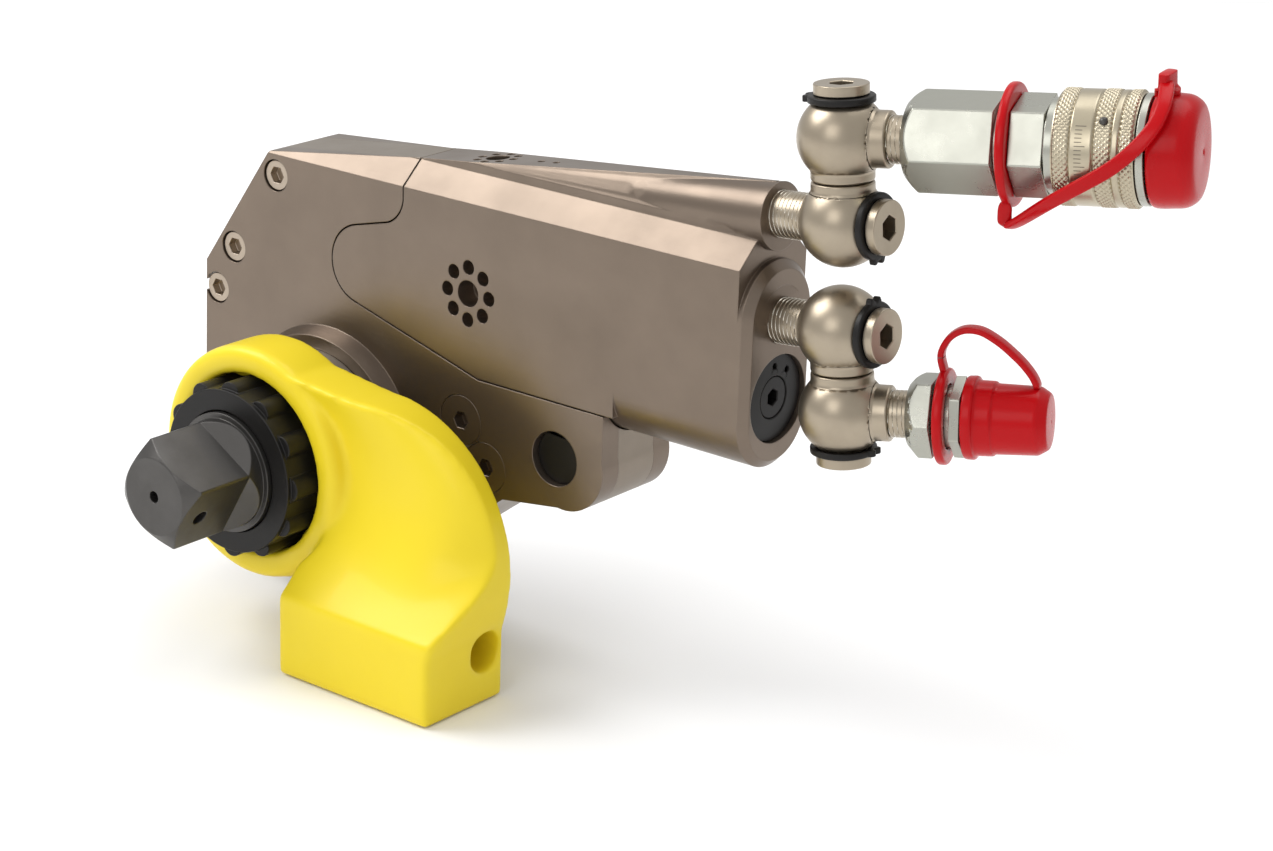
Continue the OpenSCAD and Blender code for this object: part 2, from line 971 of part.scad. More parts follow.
// Hexagon adapter of the upper coupling, a neck for the strap's ring and a second hexagon
module upper_adapter() {
  face_turn = -18;
  color([0.72, 0.72, 0.68])
    upper_line()
      difference() {
        union() {
          hex_head(hex_0, hex_1, upper_af, face_turn);
          bar_x(hex_1 - 1, nut_0 + 1, 0, 0, neck_r);
          hex_x(nut_0, nut_1, upper_af, face_turn);
        }
        bar_x(hex_0 - 1, nipple_end + 0.2, 0, 0, post_r + fit);
        bar_x(nipple_end, core_tail, 0, 0, oil_r + 1.4);
        bar_x(core_tail - 0.1, nut_1 + 1, 0, 0, core_tail_r + fit);
      }
}

// Core of the upper coupling, which the sleeve slides on
module coupler_core() {
  bore = 8.6;
  color([0.62, 0.62, 0.58])
    upper_line()
      difference() {
        union() {
          bar_x(core_tail, nut_1 + 1, 0, 0, core_tail_r);
          bar_x(nut_1 + 0.1, flange_0 + 0.1, 0, 0, core_r);
          bar_x(flange_0, flange_1, 0, 0, flange_r);
          bar_x(flange_1 - 0.1, upper_nose, 0, 0, upper_nose_r);
        }
        bar_x(core_tail - 1, sleeve_0, 0, 0, oil_r + 1.4);
        bar_x(sleeve_0 - 0.1, upper_nose + 1, 0, 0, bore);
      }
}

// Knurled locking sleeve, grooves part its bands, a dimple takes the catch ball
module locking_sleeve() {
  bands = [4.8, 11.3, 16.2, 18.4];
  groove_w = 0.6;
  groove_d = 0.5;
  color([0.66, 0.66, 0.62])
    upper_line()
      difference() {
        bar_x(sleeve_0, sleeve_1, 0, 0, sleeve_r);
        bar_x(sleeve_0 - 1, sleeve_1 + 1, 0, 0, core_r + run);
        for (p = bands)
          difference() {
            bar_x(sleeve_0 + p, sleeve_0 + p + groove_w, 0, 0, sleeve_r + 1);
            bar_x(sleeve_0 + p - 1, sleeve_0 + p + 2, 0, 0, sleeve_r - groove_d);
          }
        catch_place()
          sphere(r = 1.5);
      }
}

// Place of the catch ball on the sleeve
module catch_place() {
  catch_turn = -38;
  catch_x = sleeve_0 + 14;
  rotate([catch_turn, 0, 0])
    translate([catch_x, -sleeve_r + 0.6, 0])
      children();
}

// Small ball that catches the sleeve
module locking_ball() {
  color([0.3, 0.3, 0.3])
    upper_line()
      catch_place()
        sphere(r = 1.3);
}

// Dust cap of the upper coupling with the lug that its strap hangs on
module upper_cap() {
  dome = 4;
  lug = [6, 24, 4];
  color([0.75, 0.05, 0.06])
    upper_line()
      difference() {
        union() {
          bar_x(upper_cap_0, upper_cap_1 - dome, 0, 0, upper_cap_r);
          cone_x(upper_cap_1 - dome, upper_cap_1, upper_cap_r, upper_cap_r - dome);
          translate([upper_cap_0 + 1, -lug[1] + dome, upper_nose_r])
            cube(lug);
        }
        bar_x(upper_cap_0 - 1, upper_cap_1 - dome + 0.5, 0, 0, upper_nose_r + 0.2);
      }
}

// Strap of the upper cap: ring on the neck, a tab under it and a straight band towards the lug
module upper_strap() {
  tab = [upper_ring_w, 14, 6];
  color([0.75, 0.05, 0.06])
    upper_line() {
      difference() {
        union() {
          bar_x(upper_ring_0, upper_ring_0 + upper_ring_w, 0, 0, upper_ring_r);
          translate([upper_ring_0, -band_y, -band_low])
            cube(tab);
        }
        bar_x(upper_ring_0 - 1, upper_ring_0 + upper_ring_w + 1, 0, 0, neck_r + 0.2);
      }
      translate([upper_ring_0 + 0.4, -band_y - band_t + 0.6, -band_low + 0.5])
        rotate([0, -band_turn, 0])
          cube([band_len, band_t, band_h]);
    }
}

// Dust cap of the lower coupling
module lower_cap() {
  lip = [3, 1.3];
  step = [8.5, 0.6];
  dome = 3.5;
  color([0.75, 0.05, 0.06])
    lower_line()
      difference() {
        union() {
          bar_x(lower_cap_0, lower_cap_0 + lip[0], 0, 0, lower_cap_r + lip[1]);
          bar_x(lower_cap_0, lower_cap_0 + step[0], 0, 0, lower_cap_r);
          bar_x(lower_cap_0, lower_cap_1 - dome, 0, 0, lower_cap_r - step[1]);
          cone_x(lower_cap_1 - dome, lower_cap_1, lower_cap_r - step[1], lower_cap_r - dome);
        }
        bar_x(lower_cap_0 - 1, lower_cap_1 - dome, 0, 0, lower_nose_r + 0.2);
      }
}

// Strap of the lower cap: ring on the neck and a bowed band
module lower_strap() {
  color([0.75, 0.05, 0.06])
    lower_line() {
      difference() {
        bar_x(lower_ring_0, lower_ring_0 + lower_ring_w, 0, 0, lower_ring_r);
        bar_x(lower_ring_0 - 1, lower_ring_0 + lower_ring_w + 1, 0, 0, lower_neck_r + 0.2);
      }
      translate([loop_x, loop_w / 2, loop_z])
        rotate([90, 0, 0])
          linear_extrude(height = loop_w)
            difference() {
              circle(r = loop_r);
              circle(r = loop_r - loop_t);
              translate([-far / 2, -far])
                square([far, far]);
            }
    }
}

// Male half of the lower coupling: hexagon, neck, thin collar and nose
module lower_coupler() {
  face_turn = -29;
  collar_turn = -10;
  color([0.76, 0.76, 0.73])
    lower_line()
      difference() {
        union() {
          hex_head(hex_0, lower_hex_1, lower_af, face_turn);
          bar_x(lower_hex_1 - 0.2, collar_0 + 0.2, 0, 0, lower_neck_r);
          hex_x(collar_0, collar_1, collar_af, collar_turn);
          bar_x(collar_1 - 0.2, lower_nose, 0, 0, lower_nose_r);
        }
        bar_x(hex_0 - 1, nipple_end + 0.2, 0, 0, post_r + fit);
        bar_x(nipple_end, lower_nose + 1, 0, 0, oil_r);
      }
}

// Ratchet outline: steep faces look against the drive direction
module wheel_side(extra) {
  pitch = 360 / teeth;
  polygon([for (k = [0:teeth - 1], e = [0, 1, 2])
    let (a = steep + 90 + k * pitch + (e == 0 ? 0 : e == 1 ? pitch * 0.12 : pitch - 0.2),
         r = (e == 2 ? wheel_r - tooth_d : wheel_r) + extra)
      [r * cos(a), r * sin(a)]]);
}

// Ratchet wheel keyed on the shaft
module ratchet_wheel() {
  keys = 8;
  color([0.45, 0.44, 0.42])
    difference() {
      slab(wheel_y, wheel_w)
        wheel_side(0);
      difference() {
        bar_y(0, 0, 0, body_w, shaft_r + 0.1);
        for (k = [0:keys - 1])
          rotate([0, 360 / keys * k, 0])
            translate([shaft_r - 2.4, 0, -2.5])
              cube([6, body_w, 5]);
      }
    }
}

// Drive shaft: square end, round collar, key grooves, tail journal
module drive_shaft() {
  keys = 8;
  tip_r = square_af / 2 - 0.3;
  bevel = 3.6;
  corner_r = tip_r + 5.2;
  run_out = 6;
  back = -drive_tip + square_len;
  pin_r = 2.6;
  pin_back = 8.6;
  centre = [1.9, 4];
  key_w = 5.2;
  key_d = 2.6;
  clip_w = 0.9;
  clip_d = 1.5;
  color([0.2, 0.2, 0.2])
    difference() {
      union() {
        rotate([0, 45 - square_turn, 0])
          difference() {
            union() {
              translate([0, -drive_tip + bevel, 0])
                rotate([90, 0, 0])
                  cylinder(h = bevel, r1 = corner_r, r2 = tip_r);
              bar_y(0, 0, -drive_tip + bevel, -collar_y + over, corner_r);
            }
            for (side = [0:3])
              rotate([0, 90 * side, 0])
                translate([0, 0, -far / 2])
                  linear_extrude(height = far)
                    polygon([[square_af / 2, -drive_tip - over], [square_af / 2, back],
                             [corner_r + over, back + run_out], [far / 2, back + run_out],
                             [far / 2, -drive_tip - over]]);
          }
        bar_y(0, 0, -collar_y, far_y - 0.3, shaft_r);
        bar_y(0, 0, far_y - over, body_w - 0.6, journal_r);
      }
      for (k = [0:keys - 1])
        rotate([0, 360 / keys * k, 0])
          translate([shaft_r - key_d, wheel_y - 0.1, -key_w / 2])
            cube([2 * key_w, far_y - wheel_y, key_w]);
      bar_y(0, 0, -drive_tip - over, -drive_tip + centre[1], centre[0]);
      rotate([0, -square_turn + 45, 0])
        translate([-square_af, -drive_tip + pin_back, 0])
          rotate([0, 90, 0])
            cylinder(h = 2 * square_af, r = pin_r);
      difference() {
        bar_y(0, 0, body_w - over - clip_w, body_w - over, journal_r + over);
        bar_y(0, 0, body_w - 3, body_w, journal_r - clip_d);
      }
    }
}

// Retaining ring behind the tail bush
module shaft_clip() {
  color([0.1, 0.1, 0.1])
    difference() {
      bar_y(0, 0, body_w - 1.85, body_w - 1.05, journal_r + 1.6);
      bar_y(0, 0, body_w - 3, body_w, journal_r - 1.4);
    }
}

// Lever outline, upright
module lever_side() {
  hub = 25;
  eye = 9;
  boss = [pawl_r * cos(pawl_at + lever_rest), pawl_r * sin(pawl_at + lever_rest)];
  difference() {
    union() {
      circle(r = hub);
      translate([0, lever_r])
        circle(r = eye);
      translate(boss)
        circle(r = 6);
      polygon([[-hub + 2, 9], [hub - 2, 9], [eye, lever_r], [-eye, lever_r]]);
    }
    circle(r = shaft_r + run);
    translate([0, lever_r])
      circle(r = pin_r + fit);
    translate(boss)
      circle(r = pawl_pin_r + fit);
  }
}

// Both lever plates, one on each side of the wheel
module lever_plates() {
  color([0.4, 0.4, 0.4])
    for (y = [plate_t + lever_gap, far_y - lever_gap - lever_t])
      slab(y, lever_t)
        rotate(-lever_rest)
          lever_side();
}

// Pin between lever and rod
module lever_pin() {
  color([0.6, 0.6, 0.6])
    bar_y(pin_x, pin_z, plate_t + lever_gap, far_y - lever_gap, pin_r);
}

// Pivot pin of the drive pawl
module pawl_pivot() {
  color([0.6, 0.6, 0.6])
    bar_y(pawl_r * cos(pawl_at), pawl_r * sin(pawl_at), plate_t + lever_gap, far_y - lever_gap, pawl_pin_r);
}

// Drive pawl in mesh, before it is lifted
module pawl_in_mesh() {
  boss = polar(pawl_r, pawl_at);
  root = wheel_r - tooth_d - 1;
  nose = steep + 90 - 0.6;
  difference() {
    union() {
      slab(pawl_y, pawl_w)
        translate(boss)
          circle(r = 5);
      slab(pawl_y, pawl_w)
        polygon([polar(34, 79), polar(31.6, 91), polar(root, 96.6), polar(root, nose), polar(33.6, nose),
                 polar(38.4, 92), polar(41, 79)]);
    }
    for (a = [0:swing_step:pawl_lift])
      swung(boss, -a)
        slab(0, body_w)
          wheel_side(tooth_gap);
    bar_y(boss[0], boss[1], 0, body_w, pawl_pin_r + run);
  }
}

// Turned about a pivot in the side view
module swung(p, a) {
  translate([p[0], 0, p[1]])
    rotate([0, a, 0])
      translate([-p[0], 0, -p[1]])
        children();
}

function polar(r, a) = [r * cos(a), r * sin(a)];

// Drive pawl, lifted clear of the teeth as on the return stroke
module drive_pawl() {
  boss = polar(pawl_r, pawl_at);
  color([0.45, 0.44, 0.42])
    swung(boss, pawl_lift)
      pawl_in_mesh();
}

// Torsion spring beside the drive pawl, two coils on the pivot
module pawl_spring() {
  boss = polar(pawl_r, pawl_at);
  color([0.6, 0.6, 0.58])
    for (k = [0, 1])
      translate([boss[0], far_y - lever_gap - lever_t - 0.75 - coil_pitch * k, boss[1]])
        rotate([90, 0, 0])
          rotate_extrude()
            translate([pawl_pin_r + coil_r, 0])
              circle(r = wire_r, $fn = 24);
}

// Holding pawl in mesh
module holding_pawl() {
  root = wheel_r - tooth_d - 1;
  nose = holder_nose - 0.6;
  color([0.45, 0.44, 0.42])
    difference() {
      union() {
        slab(pawl_y, pawl_w)
          translate(plug_a)
            circle(r = 8);
        slab(pawl_y, pawl_w)
          polygon([plug_a + [-2, -7], polar(31.4, 31), polar(root, 36.6), polar(root, nose), polar(34.5, nose),
                   plug_a + [-2, 7]]);
      }
      for (a = [0:holder_step:holder_lift])
        swung(plug_a, -a)
          slab(0, body_w)
            wheel_side(holder_gap);
      bar_y(plug_a[0], plug_a[1], 0, body_w, holder_pin_r + run);
    }
}

// Torsion spring beside the holding pawl
module holding_spring() {
  color([0.6, 0.6, 0.58])
    for (k = [0, 1])
      translate([plug_a[0], wheel_y + wheel_w - 0.9 - coil_pitch * k, plug_a[1]])
        rotate([90, 0, 0])
          rotate_extrude()
            translate([holder_pin_r + coil_r, 0])
              circle(r = wire_r, $fn = 24);
}

// Piston
module piston() {
  x0 = piston_x + piston_groove;
  x1 = x0 + seal_t + 2 * groove_gap;
  color([0.5, 0.5, 0.5])
    difference() {
      bar_x(piston_x, piston_x + piston_len, mid_y, bore_z, bore_r - run);
      bar_x(piston_x - over, piston_x + piston_len - rod_seat, mid_y, bore_z, rod_r - rod_step + fit);
      difference() {
        bar_x(x0, x1, mid_y, bore_z, bore_r + over);
        bar_x(x0 - over, x1 + over, mid_y, bore_z, bore_r - seal_h + groove_gap);
      }
    }
}

// Piston seal
module piston_seal() {
  x0 = piston_x + piston_groove + groove_gap;
  color([0.04, 0.04, 0.04])
    difference() {
      bar_x(x0, x0 + seal_t, mid_y, bore_z, bore_r - run);
      bar_x(x0 - over, x0 + seal_t + over, mid_y, bore_z, bore_r - seal_h + 2 * groove_gap);
    }
}

// Piston rod with the slotted tongue that takes the lever pin
module piston_rod() {
  tongue_w = wheel_w - 0.6;
  play = 0.6;
  tongue_len = 21;
  low = 41.6;
  neck = 54;
  high = 60;
  slot_end = 57;
  color([0.75, 0.75, 0.75])
    difference() {
      union() {
        bar_x(pin_x + tongue_len - 1, piston_x - groove_gap, mid_y, bore_z, rod_r);
        bar_x(piston_x - over, piston_x + piston_len - rod_seat - groove_gap, mid_y, bore_z, rod_r - rod_step);
        slab(mid_y - tongue_w / 2, tongue_w)
          polygon([[pin_x - 10, low], [pin_x + tongue_len, low], [pin_x + tongue_len, neck], [pin_x + 9, high],
                   [pin_x - 8, high], [pin_x - 10, high - 2]]);
      }
      slab(0, body_w)
        polygon([[pin_x - pin_r - play, 0], [pin_x - pin_r - play, slot_end], [pin_x + pin_r + play, slot_end],
                 [pin_x + pin_r + play, 0]]);
    }
}

// Side outline of the arm's web: swept outer edge, bridge to the hub, foot
module web_side() {
  bridge = hub_r - 1;
  difference() {
    union() {
      intersection() {
        translate([sweep_x, -sweep_z])
          circle(r = sweep_r);
        translate([foot_x0, -foot_low])
          square([far, far]);
      }
      polygon([polar(hub_r - 0.4, 62), [sweep_x, sweep_r - sweep_z], [sweep_x, 0], [bridge / 2, 0]]);
      translate([foot_x0, -foot_low])
        square([foot_x1 - foot_x0, foot_low - foot_top]);
    }
    circle(r = bridge);
  }
}

// Reaction arm: splined hub, concave web, forward foot with a cross hole
module reaction_arm() {
  edge = 2;
  lip = 6;
  hollow_r = 52.5;
  hollow_y = 84.5;
  hollow_z = 10;
  cross_r = 6.5;
  cross_y = 25;
  cross_z = 42;
  cross_len = 26;
  color([0.94, 0.84, 0.12])
    difference() {
      union() {
        difference() {
          slab(-foot_y, foot_y - arm_back)
            web_side();
          bar_x(-far, far, -hollow_y, hollow_z, hollow_r);
        }
        slab(-hub_y + 2 * edge, hub_y - arm_back - 2 * edge)
          polygon([polar(hub_r - 0.4, -76), [foot_x0 + 1, -foot_top - 1], [sweep_x, -sweep_z], [hub_r - 6, 0]]);
        bar_y(0, 0, -hub_y + edge, -arm_back, hub_r);
        translate([0, -hub_y + edge, 0])
          rotate([90, 0, 0])
            cylinder(h = edge, r1 = hub_r, r2 = hub_r - edge);
      }
      bar_y(0, 0, -hub_y - 1, -hub_y + lip, spline_pitch + lobe_rr + 0.3);
      bar_y(0, 0, -hub_y - over, 0, spline_root + 0.1);
      for (k = [0:lobes - 1])
        rotate([0, 360 / lobes * k, 0])
          bar_y(spline_pitch, 0, -foot_y, 0, lobe_rr + 0.1);
      bar_x(foot_x1 - cross_len, far, -cross_y, -cross_z, cross_r);
    }
}

near_plate();
far_plate();
core_block();
cylinder_head();
nose_screws();
pawl_pin();
anchor_pin();
tail_pin();
spline_ring();
spline_collar();
drive_bush();
tail_bush();
gland();
gland_seal();
end_cap();
end_plug();
upper_port_post();
lower_port_post();
port_rings();
drive_shaft();
ratchet_wheel();
shaft_clip();
lever_plates();
lever_pin();
pawl_pivot();
pawl_spring();
drive_pawl();
holding_pawl();
holding_spring();
piston();
piston_seal();
piston_rod();
reaction_arm();
upper_ball_one();
upper_post_two();
upper_post_ring();
upper_ball_two();
upper_nipple();
upper_adapter();
coupler_core();
locking_sleeve();
locking_ball();
upper_cap();
upper_strap();
lower_ball_one();
lower_post_two();
lower_post_ring();
lower_ball_two();
lower_nipple();
lower_coupler();
lower_cap();
lower_strap();
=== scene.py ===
import json

import bmesh
import bpy
import numpy as np
from mathutils import Matrix, Vector


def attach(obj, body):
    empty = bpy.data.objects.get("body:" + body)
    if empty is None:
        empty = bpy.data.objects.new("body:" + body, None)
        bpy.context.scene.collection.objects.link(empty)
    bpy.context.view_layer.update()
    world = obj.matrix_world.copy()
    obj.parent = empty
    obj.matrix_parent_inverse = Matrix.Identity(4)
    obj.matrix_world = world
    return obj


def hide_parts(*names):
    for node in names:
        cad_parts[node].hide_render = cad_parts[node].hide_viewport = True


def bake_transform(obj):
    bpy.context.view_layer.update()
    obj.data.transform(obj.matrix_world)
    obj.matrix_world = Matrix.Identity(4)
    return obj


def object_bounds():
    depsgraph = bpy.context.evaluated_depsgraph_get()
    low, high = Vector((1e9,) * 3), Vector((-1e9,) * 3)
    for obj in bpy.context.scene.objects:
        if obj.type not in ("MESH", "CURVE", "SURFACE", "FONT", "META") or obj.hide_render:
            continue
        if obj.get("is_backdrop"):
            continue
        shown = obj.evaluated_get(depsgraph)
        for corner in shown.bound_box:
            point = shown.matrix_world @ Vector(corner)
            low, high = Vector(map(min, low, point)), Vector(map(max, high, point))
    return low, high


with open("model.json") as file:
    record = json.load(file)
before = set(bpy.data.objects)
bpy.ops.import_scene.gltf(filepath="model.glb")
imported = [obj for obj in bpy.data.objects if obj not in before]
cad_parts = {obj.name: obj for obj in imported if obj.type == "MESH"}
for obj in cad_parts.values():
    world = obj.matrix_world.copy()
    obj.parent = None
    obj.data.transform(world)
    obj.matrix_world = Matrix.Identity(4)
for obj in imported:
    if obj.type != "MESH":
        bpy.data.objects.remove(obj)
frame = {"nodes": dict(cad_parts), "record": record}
cad_low, cad_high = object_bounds()

# Side plates and middle frame
# Two milled plates clamp a thinner frame between them and carry the drive.
# The steel is nickel plated to a warm satin, with softly broken edges.
MM = 0.001
body_of_node = {n: b for b, ns in frame["record"]["behaviour"]["bodies"].items() for n in ns}


def linear(red, green, blue):
    """Screen colour (0 to 255) to linear light: below 0.04045 a straight line, above it a 2.4 power."""
    c = np.array([red, green, blue]) / 255
    return (*np.where(c < 0.04045, c / 12.92, ((c + 0.055) / 1.055) ** 2.4), 1.0)


def machined_copy(node, finish, edge, sides=2):
    """A copy of a CAD solid with its loose triangles merged.

    Edges that turn more than 32 degrees are rounded, creases over 24 degrees stay sharp in the shading.
    """
    merge_m, round_from, crease_from = 1e-6, np.radians(32), np.radians(24)
    mesh = frame["nodes"][node].data.copy()
    solid = bmesh.new()
    solid.from_mesh(mesh)
    bmesh.ops.remove_doubles(solid, verts=solid.verts, dist=merge_m)
    solid.to_mesh(mesh)
    solid.free()
    stored = mesh.attributes.get("custom_normal")
    if stored is not None:
        mesh.attributes.remove(stored)
    piece = bpy.data.objects.new(node + "_dressed", mesh)
    bpy.context.scene.collection.objects.link(piece)
    if edge > 0:
        rounded = piece.modifiers.new("edge", "BEVEL")
        rounded.width = edge * MM
        rounded.segments = sides
        rounded.limit_method = "ANGLE"
        rounded.angle_limit = round_from
        rounded.harden_normals = True
        rounded.use_clamp_overlap = False
    mesh.materials.clear()
    mesh.materials.append(finish)
    mesh.shade_smooth()
    mesh.set_sharp_from_angle(angle=crease_from)
    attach(piece, body_of_node[node])
    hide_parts(node)
    return piece


def grain_group():
    """Fine streaks and slow blotches of a plated, hand-held tool.

    Both are noises on object coordinates, and the streaks are drawn out along the cut.
    """
    drawn_out = (0.08, 1.0, 1.0)
    group = bpy.data.node_groups.new("satin_grain", "ShaderNodeTree")
    for name, value in (("Streak Scale", 900.0), ("Blotch Scale", 30.0)):
        socket = group.interface.new_socket(name, in_out="INPUT", socket_type="NodeSocketFloat")
        socket.default_value = value
    group.interface.new_socket("Streaks", in_out="OUTPUT", socket_type="NodeSocketFloat")
    group.interface.new_socket("Blotches", in_out="OUTPUT", socket_type="NodeSocketFloat")
    nodes, links = group.nodes, group.links
    ins, outs = nodes.new("NodeGroupInput"), nodes.new("NodeGroupOutput")
    place = nodes.new("ShaderNodeTexCoord")
    drawn = nodes.new("ShaderNodeMapping")
    drawn.inputs["Scale"].default_value = drawn_out
    streak, blotch = nodes.new("ShaderNodeTexNoise"), nodes.new("ShaderNodeTexNoise")
    streak.inputs["Detail"].default_value = 2.0
    blotch.inputs["Detail"].default_value = 5.0
    blotch.inputs["Roughness"].default_value = 0.6
    links.new(place.outputs["Object"], drawn.inputs["Vector"])
    links.new(drawn.outputs["Vector"], streak.inputs["Vector"])
    links.new(place.outputs["Object"], blotch.inputs["Vector"])
    links.new(ins.outputs["Streak Scale"], streak.inputs["Scale"])
    links.new(ins.outputs["Blotch Scale"], blotch.inputs["Scale"])
    links.new(streak.outputs["Fac"], outs.inputs["Streaks"])
    links.new(blotch.outputs["Fac"], outs.inputs["Blotches"])
    return group


satin_grain = grain_group()


def grained(
    name, colour, other, metal, smooth, rough,
    streak=900.0, blotch=30.0, relief=0.02, coat=0.0, edge=0.0, gloss=0.5,
):
    """A finish whose colour and roughness wander between two values with the blotches.

    A streaked relief lies over it, and edges are rounded in the shading where a radius is given.
    """
    coat_rough, blotch_low, blotch_high, relief_m, edge_rays = 0.06, 0.3, 0.7, 0.0005, 6
    finish = bpy.data.materials.new(name)
    finish.use_nodes = True
    nodes, links = finish.node_tree.nodes, finish.node_tree.links
    shader = nodes["Principled BSDF"]
    shader.inputs["Metallic"].default_value = metal
    shader.inputs["Coat Weight"].default_value = coat
    shader.inputs["Specular IOR Level"].default_value = gloss
    shader.inputs["Coat Roughness"].default_value = coat_rough
    grain = nodes.new("ShaderNodeGroup")
    grain.node_tree = satin_grain
    grain.inputs["Streak Scale"].default_value = streak
    grain.inputs["Blotch Scale"].default_value = blotch
    tint = nodes.new("ShaderNodeMix")
    tint.data_type = "RGBA"
    tint.inputs["A"].default_value = linear(*colour)
    tint.inputs["B"].default_value = linear(*other)
    spread = nodes.new("ShaderNodeMapRange")
    spread.inputs["From Min"].default_value = blotch_low
    spread.inputs["From Max"].default_value = blotch_high
    spread.inputs["To Min"].default_value = smooth
    spread.inputs["To Max"].default_value = rough
    bump = nodes.new("ShaderNodeBump")
    bump.inputs["Strength"].default_value = relief
    bump.inputs["Distance"].default_value = relief_m
    links.new(grain.outputs["Blotches"], tint.inputs["Factor"])
    links.new(tint.outputs["Result"], shader.inputs["Base Color"])
    links.new(grain.outputs["Blotches"], spread.inputs["Value"])
    links.new(spread.outputs["Result"], shader.inputs["Roughness"])
    links.new(grain.outputs["Streaks"], bump.inputs["Height"])
    worn = bump
    if edge > 0:
        worn = nodes.new("ShaderNodeBevel")
        worn.samples = edge_rays
        worn.inputs["Radius"].default_value = edge * MM
        links.new(bump.outputs["Normal"], worn.inputs["Normal"])
    links.new(worn.outputs["Normal"], shader.inputs["Normal"])
    return finish


plate_nickel = grained(
    "plate_nickel", (130, 116, 103), (112, 100, 89), 0.85, 0.28, 0.38, relief=0.04, edge=0.5
)
frame_nickel = grained(
    "frame_nickel", (148, 137, 124), (130, 120, 108), 0.85, 0.34, 0.44, relief=0.05, edge=0.4
)
for node in ("near_plate", "far_plate"):
    machined_copy(node, plate_nickel, 0.0)
machined_copy("core_block", frame_nickel, 0.0)

# Cylinder head
# One block with the bore, the ports and two handle sockets, machined all over.
# It has the plates' plating and is pinned between them.
machined_copy("cylinder_head", plate_nickel, 0.0)

# Screws, plugs and pins
# Socket screws clamp the nose, flush plugs carry the pawl, a pin holds the tail.
# All are turned from steel bar, the pin blackened and the others nickel plated.
bright_steel = grained("bright_steel", (205, 203, 198), (186, 184, 180), 0.95, 0.24, 0.36, blotch=90.0)
screw_nickel = grained("screw_nickel", (178, 164, 148), (158, 145, 130), 0.9, 0.28, 0.38, blotch=90.0)
black_oxide = grained("black_oxide", (26, 25, 25), (38, 36, 34), 0.6, 0.38, 0.5, blotch=60.0)
machined_copy("nose_screws", screw_nickel, 0.3)
for node in ("pawl_pin", "anchor_pin"):
    machined_copy(node, plate_nickel, 0.2)
machined_copy("tail_pin", black_oxide, 0.6)

# Spline ring, collar and bushes
# The black hardened ring takes the reaction arm, a ground collar stands behind it.
# Bronze bushes carry the shaft and a bronze gland guides the piston rod.
machined_copy("spline_ring", black_oxide, 0.4)
machined_copy("spline_collar", bright_steel, 0.4)
bronze = grained("bronze", (176, 134, 70), (150, 110, 54), 0.9, 0.3, 0.42)
for node in ("drive_bush", "tail_bush", "gland"):
    machined_copy(node, bronze, 0.2)

# Drive and ratchet
# A forged shaft with the square, oiled dark grey, turns in the bushes.
# Wheel, lever, pawls, springs and piston are steel inside the body, the seals rubber.
oiled_steel = grained("oiled_steel", (92, 90, 88), (70, 68, 66), 0.85, 0.3, 0.42, blotch=70.0, edge=0.6)
for node in ("drive_shaft", "ratchet_wheel", "lever_plates", "drive_pawl", "holding_pawl"):
    machined_copy(node, oiled_steel, 0.0)
for node in ("lever_pin", "pawl_pivot", "pawl_spring", "holding_spring", "piston", "piston_rod"):
    machined_copy(node, bright_steel, 0.0)
machined_copy("shaft_clip", black_oxide, 0.0)
seal_rubber = grained("seal_rubber", (24, 24, 24), (34, 33, 32), 0.0, 0.6, 0.75)
for node in ("gland_seal", "piston_seal"):
    machined_copy(node, seal_rubber, 0.0)

# Reaction arm
# A forging painted gloss yellow, all its edges rounded, its web falling to a thinner rim.
# It slides on the splines of the ring.
yellow_paint = grained(
    "yellow_paint", (236, 212, 40), (230, 204, 34), 0.0, 0.34, 0.42,
    streak=160.0, relief=0.03, coat=0.06, gloss=0.3,
)
voxel, smooth_by, smooth_rounds = 0.75, 0.5, 30
arm = machined_copy("reaction_arm", yellow_paint, 0.0)
voxels = arm.modifiers.new("forging", "REMESH")
voxels.mode = "VOXEL"
voxels.voxel_size = voxel * MM
voxels.use_smooth_shade = True
arm.data = bpy.data.meshes.new_from_object(arm.evaluated_get(bpy.context.evaluated_depsgraph_get()))
arm.modifiers.clear()
arm_back, rim, rim_rise, sweep_x, sweep_z, sweep_r = 17.0, 7.0, 0.9, 43.4, -19.7, 49.7
dish_y, dish_z, dish_r, foot_front = 84.5, 10.0, 52.5, 53.0
hub_r, thin_r, foot_z, web_z = 46, 88, -32, -8


def eased(value, low, high):
    """From 0 below the low value to 1 above the high one, along a cubic that leaves and arrives level."""
    t = np.clip((value - low) / (high - low), 0, 1)
    return t * t * (3 - 2 * t)


def drafted(x, y, z):
    """The web thinned towards its curved outline.

    Each column's depth becomes the soft lesser (by fourth powers) of its own and one that grows inwards.
    """
    dish = np.sqrt(np.maximum(dish_r**2 - (z - dish_z) ** 2, 0))
    depth = np.minimum(dish_y - dish, foot_front) - arm_back
    allowed = rim + rim_rise * np.maximum(sweep_r - np.hypot(x - sweep_x, z - sweep_z), 0)
    thinned = (depth**-4 + allowed**-4) ** -0.25
    weight = eased(np.hypot(x, z), hub_r, thin_r) * eased(z, foot_z, web_z)
    return -arm_back + (y + arm_back) * (1 - weight * (1 - thinned / depth))


corners = np.empty(3 * len(arm.data.vertices))
arm.data.vertices.foreach_get("co", corners)
corners = corners.reshape(-1, 3)
corners[:, 1] = MM * drafted(*(corners.T / MM))
arm.data.vertices.foreach_set("co", corners.ravel())
soften = arm.modifiers.new("rounded", "SMOOTH")
soften.factor = smooth_by
soften.iterations = smooth_rounds

# End cap
# The cap is turned steel, blackened and screwed into the rear of the bore.
# A bleed plug sits in its middle.
for node in ("end_cap", "end_plug"):
    machined_copy(node, black_oxide, 0.4)

